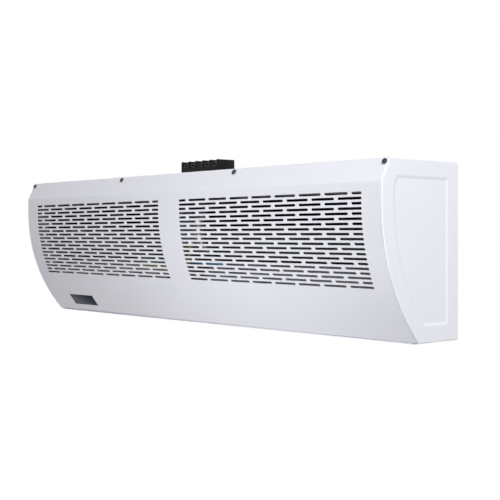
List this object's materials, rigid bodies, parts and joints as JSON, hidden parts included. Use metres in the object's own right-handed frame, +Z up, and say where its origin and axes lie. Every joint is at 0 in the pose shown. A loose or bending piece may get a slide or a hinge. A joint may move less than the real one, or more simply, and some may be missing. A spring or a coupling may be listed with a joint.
{
  "type": "air curtain",
  "caption": "Wall-hung air curtain: long housing with a curved slotted intake, twin cross-flow fans, electric heaters and a downward outlet with linked tilting vanes.",
  "frame": {"origin": "middle of the wall plate's back face, which lies in the wall plane, at half the housing's height", "axes": "+X along the housing's length, +Y into the wall, +Z up; the front with the grille faces -Y and the air leaves along -Z"},
  "size_m": [0.9, 0.153, 0.2639],
  "materials": {
    "white_coat": "fine-textured white powder coat on sheet steel",
    "galvanised": "zinc-coated sheet steel, dull with faint spangle",
    "motor_steel": "grey laminated core steel",
    "steel": "ground bright steel",
    "dark_impeller": "dark grey blades, dull",
    "brass": "satin brass",
    "rubber": "black rubber",
    "aluminium": "satin aluminium",
    "beige_plastic": "heat-proof moulded plastic",
    "black_plastic": "black moulded plastic, fine grain",
    "red_plastic": "smooth red plastic",
    "display": "dark blue smoked plastic, glossy",
    "board_green": "green solder mask",
    "yellow_lead": "yellow wire sleeve",
    "blue_lead": "light blue wire sleeve",
    "dark_screw": "dark plated steel"
  },
  "bodies": {
    "housing": {"front_panel": "white_coat", "rear_casing": "white_coat", "outlet_frame": "white_coat", "left_end_plate": "white_coat", "right_end_plate": "white_coat", "wall_plate": "galvanised", "motor_cradle": "galvanised", "left_scroll": "galvanised", "right_scroll": "galvanised", "left_tongue": "galvanised", "right_tongue": "galvanised", "left_fan_side_plate": "galvanised", "right_fan_side_plate": "galvanised", "left_partition": "galvanised", "right_partition": "galvanised", "motor_core": "motor_steel", "transformer": "motor_steel", "left_bearing_bush": "brass", "right_bearing_bush": "brass", "terminal_1": "brass", "terminal_2": "brass", "terminal_3": "brass", "terminal_4": "brass", "terminal_5": "brass", "left_bearing_cup": "rubber", "right_bearing_cup": "rubber", "left_motor_ring": "rubber", "right_motor_ring": "rubber", "left_motor_bell": "aluminium", "right_motor_bell": "aluminium", "left_heater": "aluminium", "right_heater": "aluminium", "left_heater_inner_cap": "beige_plastic", "left_heater_outer_cap": "beige_plastic", "right_heater_inner_cap": "beige_plastic", "right_heater_outer_cap": "beige_plastic", "thermal_cutout": "black_plastic", "display_bezel": "black_plastic", "run_capacitor": "black_plastic", "terminal_block_base": "black_plastic", "display_window": "display", "display_board": "board_green", "control_board": "board_green", "yellow_lead": "yellow_lead", "blue_lead": "blue_lead", "panel_screw_1": "dark_screw", "panel_screw_2": "dark_screw", "panel_screw_3": "dark_screw", "panel_screw_4": "dark_screw"},
    "rotor": {"rotor_shaft": "steel", "left_impeller": "dark_impeller", "right_impeller": "dark_impeller", "left_stub_axle": "steel", "right_stub_axle": "steel"},
    "front_vane": {"front_vane": "aluminium"},
    "rear_vane": {"rear_vane": "aluminium"},
    "vane_link": {"vane_link": "black_plastic"},
    "reset_button": {"reset_button": "red_plastic"}
  },
  "joints": [
    {"name": "rotor_spin", "type": "hinge", "parent": "housing", "child": "rotor", "pos_m": [0, -0.078, 0.03], "axis": [1, 0, 0], "continuous": true},
    {"name": "front_vane_tilt", "type": "hinge", "parent": "housing", "child": "front_vane", "pos_m": [0, -0.06843, -0.111], "axis": [1, 0, 0], "range_deg": [-25, 25]},
    {"name": "rear_vane_tilt", "type": "hinge", "parent": "housing", "child": "rear_vane", "pos_m": [0, -0.05583, -0.111], "axis": [1, 0, 0], "range_deg": [-25, 25]},
    {"name": "vane_link_swing", "type": "hinge", "parent": "front_vane", "child": "vane_link", "pos_m": [0.4295, -0.06843, -0.1055], "axis": [1, 0, 0], "range_deg": [-25, 25]},
    {"name": "reset_press", "type": "slide", "parent": "housing", "child": "reset_button", "axis": [0, -0.9543, 0.2989], "range_m": [0, 0.0012], "stiffness_N_per_m": 300, "springref_m": -0.001}
  ],
  "couplings": [
    {"joint": "rear_vane_tilt", "follows": "front_vane_tilt", "ratio": 1},
    {"joint": "vane_link_swing", "follows": "front_vane_tilt", "ratio": -1}
  ]
}
